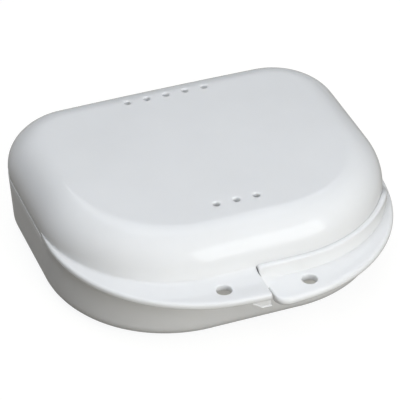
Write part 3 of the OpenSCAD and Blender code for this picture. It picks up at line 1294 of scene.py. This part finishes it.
@dataclass(frozen=True)
class GlossPlastic:
    """Glossy white moulded plastic with faint flow marks, a fine ripple and a few dust specks."""

    name: str = "gloss_white_plastic"
    pale: Colour = (0.85, 0.855, 0.86)
    deep: Colour = (0.815, 0.82, 0.825)
    flow_scale: float = 38.0
    flow_detail: float = 3.0
    flow_roughness: float = 0.55
    speck: Colour = (0.42, 0.41, 0.39)
    speck_scale: float = 130.0
    speck_core: float = 0.018
    speck_edge: float = 0.034
    speck_chance: float = 0.62
    haze_scale: float = 210.0
    haze_detail: float = 4.0
    smoothest: float = 0.02
    roughest: float = 0.05
    ripple_scale: float = 900.0
    ripple_detail: float = 2.0
    ripple_strength: float = 0.02
    ripple_depth: float = 0.0001
    ior: float = 1.49
    milkiness: float = 0.2
    milk_colour: Colour = (1.0, 0.95, 0.88)
    milk_depth: float = 0.0026

    def make(self) -> bpy.types.Material:
        """Builds the node material on object coordinates.

        Returns:
            The material.
        """
        sketch = NodeSketch(self.name)
        place = sketch.place()
        flow = sketch.noise(place, self.flow_scale, self.flow_detail, self.flow_roughness)
        tint = sketch.ramp(flow, self.deep, self.pale)
        cells = sketch.add("ShaderNodeTexVoronoi", {"Vector": place, "Scale": self.speck_scale})
        white, black = (1.0, 1.0, 1.0), (0.0, 0.0, 0.0)
        dot = sketch.ramp(cells.outputs["Distance"], white, black, self.speck_core, self.speck_edge)
        chance = sketch.add("ShaderNodeSeparateColor", {"Color": cells.outputs["Color"]})
        rare = sketch.math("GREATER_THAN", chance.outputs["Red"], self.speck_chance)
        haze = sketch.noise(place, self.haze_scale, self.haze_detail)
        ripple = sketch.noise(place, self.ripple_scale, self.ripple_detail)
        shader = sketch.add("ShaderNodeBsdfPrincipled", {
            "Base Color": sketch.mix(sketch.math("MULTIPLY", dot, rare), tint, self.speck),
            "Roughness": sketch.spread(haze, self.smoothest, self.roughest),
            "IOR": self.ior,
            "Subsurface Weight": self.milkiness,
            "Subsurface Radius": self.milk_colour,
            "Subsurface Scale": self.milk_depth,
            "Normal": sketch.bump(ripple, self.ripple_strength, self.ripple_depth),
        })
        return sketch.finish(shader.outputs["BSDF"])


@dataclass(frozen=True)
class DrawnSteel:
    """Bright wire with fine lines along its length from drawing."""

    name: str = "drawn_steel"
    bright: Colour = (0.66, 0.67, 0.69)
    dull: Colour = (0.5, 0.51, 0.53)
    stretch: tuple[float, float, float] = (0.04, 1.0, 1.0)
    line_scale: float = 6000.0
    line_detail: float = 3.0
    line_strength: float = 0.12
    line_depth: float = 0.00005
    smoothest: float = 0.24
    roughest: float = 0.42

    def make(self) -> bpy.types.Material:
        """Builds the node material on object coordinates, stretched along the wire.

        Returns:
            The material.
        """
        sketch = NodeSketch(self.name)
        drawn = sketch.add("ShaderNodeMapping", {"Vector": sketch.place(), "Scale": self.stretch})
        lines = sketch.noise(drawn.outputs[0], self.line_scale, self.line_detail)
        shader = sketch.add("ShaderNodeBsdfPrincipled", {
            "Base Color": sketch.ramp(lines, self.dull, self.bright),
            "Metallic": 1.0,
            "Roughness": sketch.spread(lines, self.smoothest, self.roughest),
            "Normal": sketch.bump(lines, self.line_strength, self.line_depth),
        })
        return sketch.finish(shader.outputs["BSDF"])


@dataclass(frozen=True)
class LidMoulding:
    """Lid with its dome, half flange, thumb lug and hinge knuckles."""

    plan: CasePlan
    hinge: Hinge
    seam_x: float = -0.85
    flange_drop: float = 0.45
    flange_t: float = 1.6
    skirt_lift: float = 0.1
    form: FlangeForm = FlangeForm(
        seam_corner_r=0.4, seam_edge_r=0.25, cove_r=0.4, cove_wide=1.8, cove_lift=0.9, skirt_gap=0.35
    )

    def build(self) -> bpy.types.Object:
        """Builds the whole moulding.

        Returns:
            Its mesh object.
        """
        rim = self.plan.lid_rim_z
        low = rim - self.flange_drop
        skirt_z = rim + self.skirt_lift
        flange = HalfFlange(self.plan, Side.LEFT, self.seam_x, low, self.flange_t, skirt_z, self.form)
        features = [LidDome(self.plan), flange, ThumbLug(flange), *self.hinge.lid_knuckles()]
        return fuse("lid_moulding", [feature.build() for feature in features])

    def dress(self, finish: bpy.types.Material) -> None:
        """Builds the moulding and settles it on the lid's body in place of its solids."""
        settle(self.build(), "lid_body", ("lid", "lid_flange"), finish)


@dataclass(frozen=True)
class BaseMoulding:
    """Base with its tray, half flange, collar and hinge knuckles."""

    plan: CasePlan
    hinge: Hinge
    seam_x: float = 0.68
    collar_x: float = -0.78
    flange_drop: float = 1.3
    flange_t: float = 1.9
    skirt_lift: float = 0.05
    form: FlangeForm = FlangeForm(
        seam_corner_r=3.0, seam_edge_r=0.35, cove_r=0.1, cove_wide=0.1, cove_lift=0.1, skirt_gap=0.02,
        edge_r=0.88,
    )

    def build(self) -> bpy.types.Object:
        """Builds the whole moulding.

        Returns:
            Its mesh object.
        """
        low = self.plan.base_rim_z - self.flange_drop - self.flange_t
        skirt_z = low + self.skirt_lift
        flange = HalfFlange(self.plan, Side.RIGHT, self.seam_x, low, self.flange_t, skirt_z, self.form)
        collar = Collar(replace(flange, seam_x=self.collar_x))
        features = [BaseTray(self.plan), flange, collar, *self.hinge.base_knuckles()]
        return fuse("base_moulding", [feature.build() for feature in features])

    def dress(self, finish: bpy.types.Material) -> None:
        """Builds the moulding and settles it on the base's body in place of its solids."""
        settle(self.build(), "base_body", ("base", "base_flange"), finish)


def direction(azimuth: float, elevation: float) -> Vector:
    """Unit vector towards a viewer at an azimuth from the front, turned to the right, and an elevation."""
    a, e = math.radians(azimuth), math.radians(elevation)
    return Vector((math.sin(a) * math.cos(e), -math.cos(a) * math.cos(e), math.sin(e)))


@dataclass(frozen=True)
class SoftLamp:
    """Rectangular soft light, placed by its direction from the case, in metres and degrees."""

    name: str
    azimuth: float
    elevation: float
    distance: float
    width: float
    depth: float
    power: float
    colour: Colour = (1.0, 1.0, 1.0)
    mirrored: bool = True

    def build(self, aim: Vector) -> None:
        """Adds the lamp, turned to face the aim. One that is not mirrored stays out of reflections.

        Args:
            aim: point that the lamp faces.
        """
        data = bpy.data.lights.new(self.name, "AREA")
        data.shape = "RECTANGLE"
        data.size, data.size_y = self.width, self.depth
        data.energy = self.power
        data.color = self.colour
        lamp = bpy.data.objects.new(self.name, data)
        back = direction(self.azimuth, self.elevation)
        lamp.location = aim + back * self.distance
        lamp.rotation_euler = back.to_track_quat("Z", "Y").to_euler()
        lamp.visible_glossy = self.mirrored
        bpy.context.scene.collection.objects.link(lamp)


@dataclass(frozen=True)
class Studio:
    """Pale floor, soft lamps, weak surrounding light and the camera, in metres and degrees."""

    aim: Vector = Vector((0.0, 0.004, 0.012))
    azimuth: float = -21.31
    elevation: float = 36.41
    roll: float = 0.18
    distance: float = 0.5508
    lens: float = 215.2
    slide_right: float = -0.00039
    slide_up: float = -0.00098
    sensor: float = 36.0
    near_clip: float = 0.01
    far_clip: float = 20.0
    floor_half: float = 3.0
    floor_lines: int = 9
    floor_drop: float = 0.0002
    floor_lift: float = 0.905
    mirror_lift: float = 0.2
    floor_tint: Colour = (0.98, 0.99, 1.0)
    floor_deep: Colour = (0.168, 0.154, 0.13)
    floor_pale: Colour = (0.178, 0.164, 0.14)
    grain_scale: float = 4.0
    grain_detail: float = 2.0
    surround: float = 0.1
    lamps: tuple[SoftLamp, ...] = (
        SoftLamp("strip_softbox", 25.5, 35, 1.0, 0.7, 0.59, 2.95, (0.95, 0.975, 1.0)),
        SoftLamp("rear_softbox", 162, 61, 1.0, 0.61, 0.69, 1.5, (0.93, 0.96, 1.0)),
        SoftLamp("overhead_fill", -8, 66, 0.5, 0.3, 0.3, 0.49, (0.91, 0.95, 1.0), mirrored=False),
        SoftLamp("rear_fill", 175, 6, 1.0, 0.6, 0.3, 0.9, (0.95, 0.975, 1.0), mirrored=False),
        SoftLamp("rear_left_fill", 225, 64, 2.0, 1.0, 1.0, 3.6, (0.93, 0.96, 1.0), mirrored=False),
        SoftLamp("high_left_fill", 270, 76, 1.0, 0.5, 0.5, 1.3, (0.93, 0.96, 1.0), mirrored=False),
        SoftLamp("left_fill", -42, 55, 0.8, 0.4, 0.4, 0.86, (0.95, 0.975, 1.0), mirrored=False),
        SoftLamp("front_fill", 0, 24, 0.7, 0.36, 0.36, 0.48, (0.98, 0.99, 1.0), mirrored=False),
        SoftLamp("low_fill", 10, 10, 0.6, 0.3, 0.18, 0.98, (1.0, 0.98, 0.9), mirrored=False),
    )

    def build(self) -> None:
        """Builds the floor, the lamps, the surrounding light and the camera."""
        self.build_floor()
        for lamp in self.lamps:
            lamp.build(self.aim)
        self.build_surround()
        self.build_camera()

    def build_floor(self) -> None:
        """Lays a flat square grid under the case, with a material that looks white to the camera."""
        line = np.linspace(-self.floor_half, self.floor_half, self.floor_lines) / MM
        x, y = np.meshgrid(line, line, indexing="ij")
        skin = Skin()
        skin.quads(skin.add(stacked(x, y, -self.floor_drop / MM)), wrap_second=False)
        floor = skin.piece("floor")
        sketch = NodeSketch("pale_floor")
        grain = sketch.noise(sketch.place(), self.grain_scale, self.grain_detail)
        tint = sketch.ramp(grain, self.floor_deep, self.floor_pale)
        matt = sketch.add("ShaderNodeBsdfDiffuse", {"Color": tint})
        ray = sketch.add("ShaderNodeLightPath").outputs
        clear = sketch.math("MAXIMUM", ray["Is Camera Ray"], ray["Is Transmission Ray"])
        seen = sketch.math("MULTIPLY", clear, self.floor_lift)
        lift = sketch.math("MULTIPLY_ADD", ray["Is Glossy Ray"], self.mirror_lift, seen)
        glow = sketch.add("ShaderNodeEmission", {"Color": (*self.floor_tint, 1.0), "Strength": lift})
        both = sketch.add("ShaderNodeAddShader", {0: matt.outputs[0], 1: glow.outputs[0]})
        floor.data.materials.append(sketch.finish(both.outputs[0]))

    def build_surround(self) -> None:
        """Gives the world a weak even light."""
        world = bpy.data.worlds.new("surround")
        world.use_nodes = True
        inputs = world.node_tree.nodes["Background"].inputs
        inputs["Strength"].default_value = self.surround
        inputs["Color"].default_value = (1.0, 1.0, 1.0, 1.0)
        bpy.context.scene.world = world

    def build_camera(self) -> None:
        """Places the camera at the photograph's angle, slid sideways to the photograph's framing."""
        data = bpy.data.cameras.new("camera")
        data.sensor_width, data.lens = self.sensor, self.lens
        data.clip_start, data.clip_end = self.near_clip, self.far_clip
        camera = bpy.data.objects.new("camera", data)
        back = direction(self.azimuth, self.elevation)
        turn = back.to_track_quat("Z", "Y").to_matrix() @ Matrix.Rotation(math.radians(self.roll), 3, "Z")
        slide = turn @ Vector((self.slide_right, self.slide_up, 0.0))
        camera.matrix_world = Matrix.Translation(self.aim + slide + back * self.distance) @ turn.to_4x4()
        bpy.context.scene.collection.objects.link(camera)
        bpy.context.scene.camera = camera


def main() -> None:
    """Builds the case and the studio in order."""
    logging.basicConfig(level=logging.INFO, format="%(name)s: %(message)s")
    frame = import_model()
    bpy.context.scene.view_settings.view_transform = "Standard"
    plan = CasePlan.from_frame(frame)
    hinge = Hinge(plan)
    plastic = GlossPlastic().make()
    steel = DrawnSteel().make()
    LidMoulding(plan, hinge).dress(plastic)
    BaseMoulding(plan, hinge).dress(plastic)
    for node in ("hinge_pin_left", "hinge_pin_right"):
        HingePin(plan, node).dress(steel)
    Studio().build()


if __name__ == "__main__":
    main()
